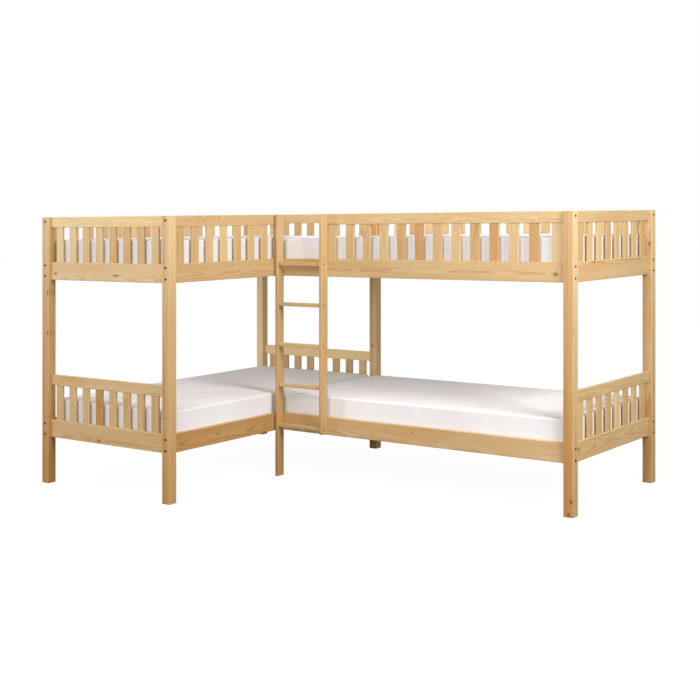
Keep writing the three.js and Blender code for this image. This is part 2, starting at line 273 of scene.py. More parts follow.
def pine_grain():
    """The node group that every wooden piece shares."""
    group = bpy.data.node_groups.new("pine_grain", "ShaderNodeTree")
    for name in BOARD_INPUTS:
        group.interface.new_socket(name, in_out="INPUT", socket_type="NodeSocketFloat")
    group.interface.new_socket("Colour", in_out="OUTPUT", socket_type="NodeSocketColor")
    group.interface.new_socket("Gloss", in_out="OUTPUT", socket_type="NodeSocketFloat")
    group.interface.new_socket("Height", in_out="OUTPUT", socket_type="NodeSocketFloat")
    recipe = Recipe(group)
    given = group.nodes.new("NodeGroupInput").outputs
    made = group.nodes.new("NodeGroupOutput").inputs
    along, across, through = given["Along"], given["Across"], given["Through"]
    start = recipe.sum("MULTIPLY_ADD", given["Seed"], SEED_STRIDE, along)

    def stretched(share, sideways=1.0):
        side = recipe.sum("MULTIPLY", across, sideways)
        depth = recipe.sum("MULTIPLY", through, sideways)
        return recipe.vector(recipe.sum("MULTIPLY", start, share), side, depth)

    # Growth rings round the log's heart, bent by drift along the log and by the knots
    drift = recipe.cloud(stretched(0.8), 1.4, 1.0)
    ripple = recipe.cloud(stretched(1.0, 6.0), 5, 2.0)
    knot_a = [given[f"Knot A {part}"] for part in KNOT_PARTS]
    knot_b = [given[f"Knot B {part}"] for part in KNOT_PARTS]
    near_a = knot_in(recipe, along, across, knot_a)
    near_b = knot_in(recipe, along, across, knot_b)
    push = recipe.sum("ADD", ring_push(recipe, near_a, knot_a[2]), ring_push(recipe, near_b, knot_b[2]))
    off_across = recipe.sum("SUBTRACT", across, given["Heart Across"])
    off_through = recipe.sum("SUBTRACT", through, given["Heart Through"])
    off_square = recipe.sum("MULTIPLY", off_through, off_through)
    radius = recipe.sum("SQRT", recipe.sum("MULTIPLY_ADD", off_across, off_across, off_square))
    radius = recipe.sum("MULTIPLY_ADD", drift, RING_DRIFT, radius)
    radius = recipe.sum("MULTIPLY_ADD", ripple, RING_RIPPLE, radius)
    radius = recipe.sum("ADD", radius, push)
    phase = recipe.sum("FRACT", recipe.sum("DIVIDE", radius, RING_WIDTH))
    rise = recipe.scale(phase, 0.25, 0.86)
    drop = recipe.scale(phase, 0.93, 1.0, 1.0, 0.0)
    late = recipe.sum("MULTIPLY", rise, drop)
    strength = recipe.scale(recipe.cloud(stretched(0.03), 42, 3.0, 0.6), 0.3, 0.7, 0.25, 0.8)
    colour = recipe.tint(recipe.sum("MULTIPLY", late, strength), PINE_EARLY, PINE_LATE)

    # Wide patches: rosy and straw stretches along a board, and soft dark streaks
    rosy = recipe.scale(recipe.cloud(stretched(0.5, 2.2), 4.5, 2.0), 0.47, 0.66)
    straw = recipe.scale(recipe.cloud(stretched(0.42, 1.8), 5.5, 2.0), 0.5, 0.68)
    colour = recipe.tint(recipe.sum("MULTIPLY", straw, STRAW_WEIGHT), colour, PINE_STRAW, "MULTIPLY")
    colour = recipe.tint(recipe.sum("MULTIPLY", rosy, ROSY_WEIGHT), colour, PINE_ROSY, "MULTIPLY")
    wide = recipe.cloud(stretched(0.12), 9, 2.0)
    warm = recipe.scale(wide, 0.35, 0.7)
    colour = recipe.tint(recipe.sum("MULTIPLY", warm, WARM_WEIGHT), colour, PINE_WARM, "MULTIPLY")
    fibre = recipe.cloud(stretched(0.025), 420, 2.0, 0.7)
    threads = recipe.scale(fibre, 0.35, 0.7, 0.0, 0.55)
    colour = recipe.tint(threads, colour, PINE_THREAD, "MULTIPLY")

    # The board's own tone, then its knots and its paler edges, partly worn and partly a painted highlight
    darker = recipe.scale(given["Tone"], 0.0, DARKEST_TONE, 0.0, DARKEST_TONE, False)
    paler = recipe.scale(given["Tone"], -1.0, 0.0, 1.0, 0.0, False)
    colour = recipe.tint(recipe.sum("MULTIPLY", darker, DARK_WEIGHT), colour, PINE_DARK, "MULTIPLY")
    colour = recipe.tint(recipe.sum("MULTIPLY", paler, PALE_WEIGHT), colour, PINE_PALE)
    for near in (near_a, near_b):
        halo = recipe.scale(near, 1.0, 2.6, 0.65, 0.0)
        colour = recipe.tint(halo, colour, KNOT_HALO, "MULTIPLY")
        colour = recipe.tint(recipe.scale(near, 0.7, 1.1, 0.85, 0.0), colour, PINE_KNOT)
        colour = recipe.tint(recipe.scale(near, 0.3, 0.7, 0.6, 0.0), colour, PINE_KNOT_HEART)
    # Paler long edges: partly wear, partly a painted highlight where an edge rounds over.
    edge_wear_and_highlight = recipe.scale(given["Edge"], *WORN_AND_HIGHLIT_EDGE, 1.0, 0.0)
    worn_and_highlit = recipe.sum("MULTIPLY", edge_wear_and_highlight, recipe.scale(wide, 0.4, 0.62))
    colour = recipe.tint(recipe.sum("MULTIPLY", worn_and_highlit, WEAR_AND_HIGHLIGHT_WEIGHT), colour, PINE_PALE)
    gloss = recipe.sum("MULTIPLY_ADD", late, LATE_GLOSS, LACQUER_GLOSS)
    gloss = recipe.sum("MULTIPLY_ADD", fibre, FIBRE_GLOSS, gloss)
    gloss = recipe.sum("MULTIPLY_ADD", worn_and_highlit, WORN_GLOSS, gloss)
    height = recipe.sum("MULTIPLY_ADD", late, 0.5, recipe.sum("MULTIPLY", fibre, 0.9))
    recipe.feed(made["Colour"], colour)
    recipe.feed(made["Gloss"], gloss)
    recipe.feed(made["Height"], height)
    return group


PINE_GRAIN = pine_grain()
FAR_KNOT = (9.0, 9.0, 0.001, 1.0)
KNOT_LENGTH = 1.6


def new_material(name):
    material = bpy.data.materials.new(name)
    material.use_nodes = True
    tree = material.node_tree
    return material, Recipe(tree), tree.nodes["Principled BSDF"]


def edge_distance(recipe, across, through, half_across, half_through):
    """Distance from a point on a board's face to the board's nearest long edge."""
    side = recipe.sum("SUBTRACT", half_across, recipe.sum("ABSOLUTE", across))
    face = recipe.sum("SUBTRACT", half_through, recipe.sum("ABSOLUTE", through))
    return recipe.sum("MAXIMUM", side, face)


def finish_pine(recipe, surface, values):
    """Clear satin lacquer over the shared grain."""
    grain = recipe.node("Group", node_tree=PINE_GRAIN)
    for name, value in values.items():
        recipe.feed(grain.inputs[name], value)
    recipe.feed(surface.inputs["Base Color"], grain.outputs["Colour"])
    recipe.feed(surface.inputs["Roughness"], grain.outputs["Gloss"])
    relief = recipe.bump(grain.outputs["Height"], GRAIN_BUMP, GRAIN_DEPTH)
    recipe.feed(surface.inputs["Normal"], relief)
    surface.inputs["Coat Weight"].default_value = LACQUER_COAT
    surface.inputs["Coat Roughness"].default_value = LACQUER_COAT_GLOSS


# Tones of single boards, from paler (below 0) to darker and more orange (above 0).
# Posts and ladder boards have two tones: of their front faces, then of the faces to the right.
# The split between the two is painted light for how differently each face is lit, and the rear posts'
# pale tones are painted light where little light reaches them.
SQUARE_TONES_AND_PAINTED_LIGHT = {
    "post_a_front_left": (0.45, 0.35),
    "post_a_front_right": (0.35, -0.3),
    "post_a_rear_left": (-1.9, -1.9),
    "post_a_rear_right": (-0.7, -1.6),
    "post_b_front_right": (0.55, -0.35),
    "post_b_rear_right": (0.2, -0.2),
    "ladder_leg_left": (0.35, 0.05),
    "ladder_side_right": (0.3, -0.1),
}

# Painted shade: what a post's tone gains down to the floor, where less light falls, and what the inner
# rear post gains at its top end, which takes back its pale painted light where more light reaches it
LOW_END_PAINTED_SHADE = 1.1
LOW_END_REACH = 1.4
TOP_END_PAINTED_SHADE = {"post_a_rear_right": 2.0}
TOP_END_START = 1.15
TOP_END_FULL = 1.3

# The two glued halves of a post differ a little
HALF_TONE = 0.18
HALF_SEED = 3.7

# Other boards have one tone each, and those not named here draw theirs
BOARD_TONES = {
    "rail_a_right_lower": 1.1,
    "rail_a_right_upper": 0.35,
    "rail_b_front_upper": 0.2,
    "rail_b_front_lower": 0.3,
    "panel_a_front_upper_bottom_rail": 0.0,
    "panel_a_front_lower_bottom_rail": 0.25,
    # Paler at the back under bunk A: painted light where little light reaches.
    "panel_a_rear_lower_bottom_rail": -0.8,
    "panel_b_right_upper_bottom_rail": 0.3,
    "panel_b_right_lower_bottom_rail": 0.25,
    "ladder_rung_1": 0.45,
    "ladder_rung_2": 0.3,
    "ladder_rung_3": 0.35,
    "ladder_rung_4": 0.3,
    "ladder_rung_5": 0.3,
}

# Knots that the photograph shows: their place to the side (X, or Y on pieces that face right)
# and their height, their radius across the grain, and how many times longer they are along it
PHOTO_KNOTS = {
    "rail_b_front_upper": [(1.3818, 1.2351, 0.0072, 1.7)],
    "panel_b_right_upper_bottom_rail": [(0.2237, 1.2933, 0.0055, 2.2), (0.6419, 1.2752, 0.0032, 1.6)],
    "panel_a_front_upper_bottom_rail": [(-0.8791, 1.2290, 0.0048, 5.5), (-1.3914, 1.2315, 0.0060, 2.2)],
    "panel_a_front_lower_bottom_rail": [(-1.0194, 0.2862, 0.0060, 2.0)],
    "panel_b_right_lower_bottom_rail": [(0.0444, 0.3322, 0.0060, 1.6)],
    "post_b_front_right": [(1.4760, 0.0794, 0.0062, 1.6), (1.4631, 0.0120, 0.0070, 1.6)],
    "post_a_front_left": [(-1.4395, 0.8802, 0.0060, 1.8), (-1.4395, 1.1188, 0.0055, 2.4)],
    "post_a_rear_right": [(-0.4757, 0.6840, 0.0060, 1.6)],
    "post_b_rear_right": [(1.4759, 1.3701, 0.0065, 1.3)],
}
CLEAR_KINDS = ("ladder", "post")
SMALL_KNOT = (0.0022, 0.0042)


def knots_of(name, draw, along_axis, side_axis, centre, half):
    """The photographed knots of a board, or one small knot where it shows none."""
    knots = []
    for sideways, height, radius, length in PHOTO_KNOTS.get(name, []):
        seen = {"x": sideways, "y": sideways, "z": height}
        along = seen["xyz"[along_axis]] - centre[along_axis]
        across = seen["xyz"[side_axis]] - centre[side_axis]
        knots.append((along, across, radius, length))
    if not knots and name.split("_")[0] not in CLEAR_KINDS:
        along = draw.uniform(-0.9, 0.9) * half[along_axis]
        across = draw.uniform(-0.8, 0.8) * half[side_axis]
        knots.append((along, across, draw.uniform(*SMALL_KNOT), KNOT_LENGTH))
    return knots + [FAR_KNOT] * (2 - len(knots))


def log_heart(draw):
    """Where the log's heart lies beside a board: across it and behind or before it."""
    return draw.uniform(-0.05, 0.05), draw.choice((-1, 1)) * draw.uniform(0.03, 0.09)


def knot_values(knots):
    return {
        f"Knot {letter} {part}": number
        for letter, knot in zip("AB", knots)
        for part, number in zip(KNOT_PARTS, knot)
    }


def give(piece, material):
    piece.data.materials.clear()
    piece.data.materials.append(material)


def pine_board(name, along_axis, side_axis, seed):
    """A plain board or post: the grain follows its length."""
    low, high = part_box(name)
    centre = (low + high) / 2
    half = (high - low) / 2
    through_axis = 3 - along_axis - side_axis
    material, recipe, surface = new_material("pine_" + name)
    place = recipe.parts(recipe.node("TexCoord").outputs["Object"])
    along, across, through = (
        recipe.sum("SUBTRACT", place[i], centre[i]) for i in (along_axis, side_axis, through_axis)
    )
    draw = random.Random(seed)
    tone = draw.uniform(-0.2, 0.4)
    heart_across, heart_through = log_heart(draw)
    board_seed = float(seed)
    if name in SQUARE_TONES_AND_PAINTED_LIGHT:
        # The front and right faces take different tones: painted light and shade for how each face is lit.
        front, side = SQUARE_TONES_AND_PAINTED_LIGHT[name]
        reach_across = recipe.sum("DIVIDE", recipe.sum("ABSOLUTE", across), half[side_axis])
        reach_through = recipe.sum("DIVIDE", recipe.sum("ABSOLUTE", through), half[through_axis])
        is_side = recipe.sum("GREATER_THAN", reach_across, reach_through)
        glued_half = recipe.sum("GREATER_THAN", across, 0.0)
        front_tone = recipe.pick(glued_half, front + HALF_TONE, front - HALF_TONE)
        tone = recipe.pick(is_side, front_tone, side)
        # Painted shade: darker towards the floor, and on the inner rear post darker at its top end.
        low_end_shade = recipe.scale(place[2], 0.0, LOW_END_REACH, LOW_END_PAINTED_SHADE, 0.0, False)
        tone = recipe.sum("ADD", tone, low_end_shade)
        if name in TOP_END_PAINTED_SHADE:
            top_end_shade = recipe.scale(place[2], TOP_END_START, TOP_END_FULL, 0.0, TOP_END_PAINTED_SHADE[name])
            tone = recipe.sum("ADD", tone, top_end_shade)
        board_seed = recipe.pick(glued_half, board_seed, board_seed + HALF_SEED)
    elif name in BOARD_TONES:
        tone = BOARD_TONES[name]
    values = {
        "Along": along, "Across": across, "Through": through, "Tone": tone, "Seed": board_seed,
        "Heart Across": heart_across, "Heart Through": heart_through,
        "Edge": edge_distance(recipe, across, through, half[side_axis], half[through_axis]),
    }
    values.update(knot_values(knots_of(name, draw, along_axis, side_axis, centre, half)))
    finish_pine(recipe, surface, values)
    give(nodes[name], material)


def boards():
    for seed, name in enumerate(sorted(nodes), start=1):
        kind = name.split("_")[0]
        if kind not in ("post", "ladder", "rail", "ledger") and not name.endswith("bottom_rail"):
            continue
        size = size_of(name)
        longest = max(range(3), key=lambda i: size[i])
        through = min(range(3), key=lambda i: size[i])
        if name in SQUARE_TONES_AND_PAINTED_LIGHT:
            through = 1
        pine_board(name, longest, 3 - longest - through, seed)


boards()


def slat_row(name, run_axis, end_gaps, pitch, stiles):
    """Works out the slats of a top rail the way the joiner sets them out."""
    low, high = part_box(name)
    start = low[run_axis] + stiles[0] + end_gaps[0]
    end = high[run_axis] - stiles[1] - end_gaps[1]
    travel = end - start - SLAT_WIDTH
    spaces = round(travel / pitch)
    return {
        "name": name, "axis": run_axis, "first": start + SLAT_WIDTH / 2,
        "step": travel / spaces, "count": spaces + 1,
    }


# Top rails: the axis that each runs along, then how its slats are set out. End gaps and
# stiles, the wider boards at a guard's ends, are given at the left or front, then at the other end.
PANEL_AXES = {"a_front": 0, "a_rear": 0, "b_right": 1}
PANEL_SETTING = {"end_gaps": (0.046, 0.046), "pitch": 0.112, "stiles": (0, 0)}
GUARD_SETTINGS = {
    "guard_a_left": (1, {"end_gaps": (0.064, 0.044), "pitch": 0.1194, "stiles": (0.075, 0.065)}),
    "guard_a_right": (1, {"end_gaps": (0.0595, 0.0595), "pitch": 0.1182, "stiles": (0.080, 0.070)}),
    "guard_b_front": (0, {"end_gaps": (0.075, 0.075), "pitch": 0.1194, "stiles": (0.075, 0.075)}),
    "guard_b_rear": (0, {"end_gaps": (0.052, 0.052), "pitch": 0.1194, "stiles": (0.075, 0.075)}),
}
TOP_RAILS = [
    slat_row(f"panel_{panel}_{level}_slatted_top", axis, **PANEL_SETTING)
    for panel, axis in PANEL_AXES.items()
    for level in ("lower", "upper")
] + [slat_row(name, axis, **setting) for name, (axis, setting) in GUARD_SETTINGS.items()]
TOP_RAIL_TONES = {
    "panel_a_front_lower_slatted_top": 0.15,
    "panel_a_front_upper_slatted_top": -0.25,
    # Paler at the back under bunk A: painted light where little light reaches.
    "panel_a_rear_lower_slatted_top": -0.8,
    "panel_b_right_upper_slatted_top": 0.15,
    "panel_b_right_lower_slatted_top": 0.15,
    "guard_a_right": 0.1,
    "guard_b_front": 0.05,
}

# Slats that the photograph shows clearly: the tone of each, counted from the left or the front
SLAT_TONES = {
    "panel_a_front_upper_slatted_top": [-0.1, -0.1, 0.3, 0.2, 0.75, 0.8, 0.7, 0.05],
    "panel_a_front_lower_slatted_top": [0.3, 0.15, 0.2, 1.5, 0.3, 0.5, 0.35, 0.5],
    "guard_a_right": [0.2, -0.05, -0.2, 0.15, 0.05, 0.0],
    "guard_b_front": [0.3, 0.45, 0.1, 0.75, 1.2, 0.45, -0.05, 0.8, 1.1, 0.1, 1.0],
}
SLAT_TONE_SPREAD = 0.95
SLAT_TONE_START = -0.25
NARROW_KNOT = 0.0026
HAIR = 0.0001


def slat_tone_of(recipe, name, index, luck):
    """Each slat has a tone of its own: by chance, or as the photograph shows it."""
    tone = recipe.sum("MULTIPLY_ADD", luck, SLAT_TONE_SPREAD, SLAT_TONE_START)
    for number, seen in enumerate(SLAT_TONES.get(name, [])):
        here = recipe.sum("COMPARE", index, float(number), 0.1)
        tone = recipe.pick(here, tone, seen)
    return tone


def slatted_pine(row, seed):
    """A top rail with its slats: the grain runs along the rail and up each slat."""
    name = row["name"]
    low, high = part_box(name)
    centre = (low + high) / 2
    half = (high - low) / 2
    run_axis = row["axis"]
    through_axis = 1 - run_axis
    material, recipe, surface = new_material("pine_" + name)
    place = recipe.parts(recipe.node("TexCoord").outputs["Object"])
    run, upright = place[run_axis], place[2]
    through = recipe.sum("SUBTRACT", place[through_axis], centre[through_axis])
    in_slat = recipe.sum("LESS_THAN", upright, high[2] - TOP_RAIL_HEIGHT - HAIR)
    count = recipe.sum("DIVIDE", recipe.sum("SUBTRACT", run, row["first"]), row["step"])
    index = recipe.sum("MAXIMUM", recipe.sum("ROUND", count), -1.0)
    index = recipe.sum("MINIMUM", index, float(row["count"]))
    slat_middle = recipe.sum("MULTIPLY_ADD", index, row["step"], row["first"])
    slat_across = recipe.sum("SUBTRACT", run, slat_middle)
    luck = recipe.chance(recipe.sum("ADD", index, seed * 17.3))
    other_luck = recipe.chance(recipe.sum("ADD", index, seed * 31.7))
    draw = random.Random(seed)
    tone = TOP_RAIL_TONES.get(name, draw.uniform(-0.1, 0.3))
    heart_across, heart_through = log_heart(draw)
    rail_along = recipe.sum("SUBTRACT", run, centre[run_axis])
    rail_across = recipe.sum("SUBTRACT", upright, high[2] - TOP_RAIL_HEIGHT / 2)
    rail_edge = edge_distance(recipe, rail_across, through, TOP_RAIL_HEIGHT / 2, half[through_axis])
    slat_edge = edge_distance(recipe, slat_across, through, SLAT_WIDTH / 2, SLAT_THICKNESS / 2)
    slat_heart = recipe.sum("MULTIPLY_ADD", other_luck, 0.12, -0.06)
    slat_depth = recipe.sum("MULTIPLY_ADD", luck, 0.08, 0.02)
    slat_seed = recipe.sum("MULTIPLY_ADD", luck, 40.0, float(seed))
    knot_along = draw.uniform(-0.9, 0.9) * half[run_axis]
    rail_knot = (knot_along, draw.uniform(-0.02, 0.02), NARROW_KNOT, KNOT_LENGTH)
    values = {
        "Along": recipe.pick(in_slat, rail_along, upright),
        "Across": recipe.pick(in_slat, rail_across, slat_across),
        "Through": through,
        "Tone": recipe.pick(in_slat, tone, slat_tone_of(recipe, name, index, luck)),
        "Seed": recipe.pick(in_slat, float(seed), slat_seed),
        "Heart Across": recipe.pick(in_slat, heart_across, slat_heart),
        "Heart Through": recipe.pick(in_slat, heart_through, slat_depth),
        "Edge": recipe.pick(in_slat, rail_edge, slat_edge),
    }
    values.update(knot_values([rail_knot, FAR_KNOT]))
    finish_pine(recipe, surface, values)
    give(nodes[name], material)


FIRST_TOP_RAIL_SEED = 101
for row_number, top_rail in enumerate(TOP_RAILS):
    slatted_pine(top_rail, FIRST_TOP_RAIL_SEED + row_number)


# Decks: the axis that each runs along, and the weave of the straps under it
DECKS = {"slat_deck_a_lower": 1, "slat_deck_a_upper": 1, "slat_deck_b_lower": 0, "slat_deck_b_upper": 0}
FIRST_DECK_SEED = 201
STRAP_THREAD = 0.0022
STRAP_RIB = 0.0016
STRAP_HOLLOW_SHADE = paint(205, 200, 190)
STRAP_LIGHT = paint(236, 233, 226)
BARE_BUMP = 0.35
BARE_DEPTH = 0.0005


def deck_pine(name, run_axis, seed):
    """Bare deck slats on two woven straps."""
    low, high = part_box(name)
    centre = (low + high) / 2
    cross_axis = 1 - run_axis
    first = low[run_axis] + DECK_SLAT_WIDTH / 2
    step = ((high - low)[run_axis] - DECK_SLAT_WIDTH) / (DECK_SLATS - 1)
    material, recipe, surface = new_material("pine_" + name)
    place = recipe.parts(recipe.node("TexCoord").outputs["Object"])
    run, along, through = place[run_axis], place[cross_axis], place[2]
    index = recipe.sum("ROUND", recipe.sum("DIVIDE", recipe.sum("SUBTRACT", run, first), step))
    across = recipe.sum("SUBTRACT", run, recipe.sum("MULTIPLY_ADD", index, step, first))
    luck = recipe.chance(recipe.sum("ADD", index, seed * 11.9))
    other_luck = recipe.chance(recipe.sum("ADD", index, seed * 23.1))
    grain = recipe.node("Group", node_tree=PINE_GRAIN)
    values = {
        "Along": recipe.sum("SUBTRACT", along, centre[cross_axis]),
        "Across": across,
        "Through": recipe.sum("SUBTRACT", through, high[2] - DECK_SLAT_THICKNESS / 2),
        "Tone": recipe.sum("MULTIPLY_ADD", luck, 0.7, -0.7),
        "Seed": recipe.sum("MULTIPLY_ADD", other_luck, 50.0, float(seed)),
        "Heart Across": recipe.sum("MULTIPLY_ADD", other_luck, 0.1, -0.05),
        "Heart Through": recipe.sum("MULTIPLY_ADD", luck, 0.07, 0.02),
        "Edge": 1.0,
        "Knot A Along": recipe.sum("MULTIPLY_ADD", luck, 1.1, -0.55),
        "Knot A Across": recipe.sum("MULTIPLY_ADD", other_luck, 0.05, -0.025),
        "Knot A Size": 0.005,
        "Knot A Length": KNOT_LENGTH,
        "Knot B Along": recipe.sum("MULTIPLY_ADD", other_luck, -1.4, 0.7),
        "Knot B Across": recipe.sum("MULTIPLY_ADD", luck, 0.04, -0.02),
        "Knot B Size": 0.004,
        "Knot B Length": KNOT_LENGTH,
    }
    for key, value in values.items():
        recipe.feed(grain.inputs[key], value)
    is_strap = recipe.sum("LESS_THAN", through, high[2] - DECK_SLAT_THICKNESS - HAIR / 10)
    weave = recipe.sum("SINE", recipe.sum("MULTIPLY", run, 2 * math.pi / STRAP_THREAD))
    rib = recipe.sum("SINE", recipe.sum("MULTIPLY", along, 2 * math.pi / STRAP_RIB))
    thread = recipe.sum("MULTIPLY", weave, rib)
    # The weave is darker where it is low: painted shade in its hollows.
    strap_colour = recipe.tint(recipe.scale(thread, -0.6, 0.6), STRAP_HOLLOW_SHADE, STRAP_LIGHT)
    height = recipe.pick(is_strap, grain.outputs["Height"], thread)
    gloss = recipe.sum("MULTIPLY_ADD", grain.outputs["Gloss"], 0.5, 0.4)
    recipe.feed(surface.inputs["Base Color"], recipe.tint(is_strap, grain.outputs["Colour"], strap_colour))
    recipe.feed(surface.inputs["Roughness"], gloss)
    recipe.feed(surface.inputs["Normal"], recipe.bump(height, BARE_BUMP, BARE_DEPTH))
    give(nodes[name], material)


for deck_number, (deck_name, deck_axis) in enumerate(DECKS.items()):
    deck_pine(deck_name, deck_axis, FIRST_DECK_SEED + deck_number)


BRONZE_DARK = paint(34, 17, 3)
BRONZE_BROWN = paint(54, 30, 9)
WIRE_DULL = paint(150, 152, 154)
WIRE_BRIGHT = paint(186, 188, 190)


def bronze_plating():
    """Dark bronze plating of the bolts, screws and corner brackets."""
    material, recipe, surface = new_material("dark_bronze_plating")
    place = recipe.node("TexCoord").outputs["Object"]
    mottle = recipe.scale(recipe.cloud(place, 60, 3.0), 0.35, 0.65)
    gloss = recipe.scale(recipe.cloud(place, 240, 2.0), 0.3, 0.7, 0.5, 0.66)
    recipe.feed(surface.inputs["Base Color"], recipe.tint(mottle, BRONZE_DARK, BRONZE_BROWN))
    recipe.feed(surface.inputs["Roughness"], gloss)
    recipe.feed(surface.inputs["Normal"], recipe.bump(recipe.cloud(place, 700, 2.0), 0.2, 0.0002))
    surface.inputs["Metallic"].default_value = 0.2
    surface.inputs["Specular IOR Level"].default_value = 0.15
    return material


def bright_wire():
    """Galvanised wire of the staples under the decks."""
    material, recipe, surface = new_material("galvanised_wire")
    place = recipe.node("TexCoord").outputs["Object"]
    dull = recipe.scale(recipe.cloud(place, 900, 2.0), 0.3, 0.7)
    recipe.feed(surface.inputs["Base Color"], recipe.tint(dull, WIRE_DULL, WIRE_BRIGHT))
    recipe.feed(surface.inputs["Roughness"], recipe.pick(dull, 0.3, 0.5))
    surface.inputs["Metallic"].default_value = 0.9
    return material


BRONZE = bronze_plating()
WIRE = bright_wire()
for bracket in ("corner_bracket_lower", "corner_bracket_upper"):
    give(nodes[bracket], BRONZE)


def new_piece(name, shape, material, body):
    """Turns a bmesh into a piece of the bed that rides on a body."""
    mesh = bpy.data.meshes.new(name)
    shape.to_mesh(mesh)
    shape.free()
    piece = bpy.data.objects.new(name, mesh)
    bpy.context.scene.collection.objects.link(piece)
    mesh.materials.append(material)
    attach(piece, body)
    return piece


def pattern_of(shape, name):
    mesh = bpy.data.meshes.new(name)
    shape.to_mesh(mesh)
    shape.free()
    return mesh


def sunk_head(radius, proud, segments):
    """A low domed head with a sunk socket, standing on Z 0 and facing +Z."""
    shape = bmesh.new()
    bmesh.ops.create_cone(
        shape, cap_ends=True, segments=segments, radius1=radius, radius2=radius, depth=proud + SUNK,
    )
    bmesh.ops.translate(shape, verts=shape.verts, vec=(0, 0, (proud - SUNK) / 2))
    top = max(shape.faces, key=lambda face: face.calc_center_median().z)
    bmesh.ops.bevel(
        shape, geom=list(top.edges), offset=proud * HEAD_DOME_SHARE, segments=2, profile=0.5,
        material=-1, affect="EDGES",
    )
    top = max(shape.faces, key=lambda face: face.calc_center_median().z)
    rim = radius * (1 - SOCKET_SHARE) * HEAD_DOME_SHARE
    bmesh.ops.inset_region(shape, faces=[top], thickness=rim)
    high = [face for face in shape.faces if face.calc_center_median().z > proud - HAIR / 10]
    socket = min(high, key=lambda face: face.calc_center_median().xy.length)
    sunk = bmesh.ops.extrude_discrete_faces(shape, faces=[socket])["faces"]
    for vert in sunk[0].verts:
        vert.co.z -= proud * SOCKET_DEPTH_SHARE
    bmesh.ops.recalc_face_normals(shape, faces=shape.faces)
    return pattern_of(shape, "head_pattern")


def staple_crown():
    """The part of a staple that shows: a wire crown with bent ends, along X and facing -Z."""
    shape = bmesh.new()
    bmesh.ops.create_cone(
        shape, cap_ends=True, segments=STAPLE_SIDES, radius1=STAPLE_WIRE, radius2=STAPLE_WIRE,
        depth=STAPLE_WIDTH, matrix=Matrix.Rotation(math.pi / 2, 4, "Y"),
    )
    ends = [face for face in shape.faces if len(face.verts) == STAPLE_SIDES]
    bmesh.ops.bevel(
        shape, geom=[edge for face in ends for edge in face.edges],
        offset=STAPLE_WIRE * STAPLE_BEND_SHARE, segments=1, profile=0.5, material=-1, affect="EDGES",
    )
    bmesh.ops.recalc_face_normals(shape, faces=shape.faces)
    return pattern_of(shape, "staple_pattern")


def facing(direction):
    return Vector((0, 0, 1)).rotation_difference(Vector(direction)).to_matrix().to_4x4()


def crossing_strap(run_axis):
    return Matrix.Rotation(0 if run_axis else math.pi / 2, 4, "Z")


def spread(pattern, spots, turn):
    """Copies a pattern mesh to every spot: a place, and what the copy's turn is worked out from."""
    shape = bmesh.new()
    for place, way in spots:
        before = len(shape.verts)
        shape.from_mesh(pattern)
        shape.verts.ensure_lookup_table()
        fresh = shape.verts[before:]
        bmesh.ops.transform(shape, matrix=Matrix.Translation(place) @ turn(way), verts=fresh)
    return shape


BOLTED_FACES = {
    "post_a_front_left": (0, -1, 0),
    "post_a_front_right": (0, -1, 0),
    "post_a_rear_left": (0, 1, 0),
    "post_a_rear_right": (0, 1, 0),
    "post_b_front_right": (1, 0, 0),
    "post_b_rear_right": (1, 0, 0),
}
SINGLE_SCREWS = [
    ("post_a_front_right", (0, -1, 0), 0.467),
    ("post_a_rear_right", (0, -1, 0), 0.604),
    ("post_a_rear_right", (1, 0, 0), 0.648),
]
LEDGER_FACES = {
    "ledger_a_left": (1, 0, 0),
    "ledger_a_right": (-1, 0, 0),
    "ledger_b_front": (0, 1, 0),
    "ledger_b_rear": (0, -1, 0),
}


def face_spot(name, direction, height):
    """The middle of a post's face at a height."""
    low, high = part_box(name)
    middle = (low + high) / 2 + Vector(direction) * POST_SIDE / 2
    return Vector((middle.x, middle.y, height)), direction


def post_bolt_spots():
    """Five bolts down the outer face of each corner post."""
    return [face_spot(name, way, height) for name, way in BOLTED_FACES.items() for height in BOLT_HEIGHTS]


def small_screw_spots():
    """Screws through the ladder boards into the rungs, and single ones that the photograph shows."""
    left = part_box("ladder_leg_left")[0].x
    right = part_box("ladder_side_right")[1].x
    spots = []
    for i in range(RUNGS):
        low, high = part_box(f"ladder_rung_{i + 1}")
        middle = (low + high) / 2
        spots.append((Vector((left, middle.y, middle.z)), (-1, 0, 0)))
        spots.append((Vector((right, middle.y, middle.z)), (1, 0, 0)))
    return spots + [face_spot(*single) for single in SINGLE_SCREWS]


def ledger_screw_spots():
    """Screws along the inner face of each ledger, into its side rail."""
    spots = []
    for stem, way in LEDGER_FACES.items():
        for level in ("lower", "upper"):
            low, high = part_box(f"{stem}_{level}")
            run_axis = 1 if way[0] else 0
            face = (high if sum(way) > 0 else low)[1 - run_axis]
            length = (high - low)[run_axis]
            count = round(length / LEDGER_SCREW_SPACING)
            for i in range(count):
                place = Vector((face, face, (low.z + high.z) / 2))
                place[run_axis] = low[run_axis] + length * (i + 0.5) / count
                spots.append((place, way))
    return spots


def bracket_screw_spots():
    """Two screws through each corner bracket: one into bunk A's rail, one into bunk B's."""
    spots = []
    for level in ("lower", "upper"):
        low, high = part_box(f"corner_bracket_{level}")
        height = (low.z + high.z) / 2
        on_a = Vector((low.x + BRACKET_THICKNESS, high.y - BRACKET_SCREW_INSET, height))
        on_b = Vector((high.x - BRACKET_SCREW_INSET, low.y + BRACKET_THICKNESS, height))
        spots += [(on_a, (1, 0, 0)), (on_b, (0, 1, 0))]
    return spots


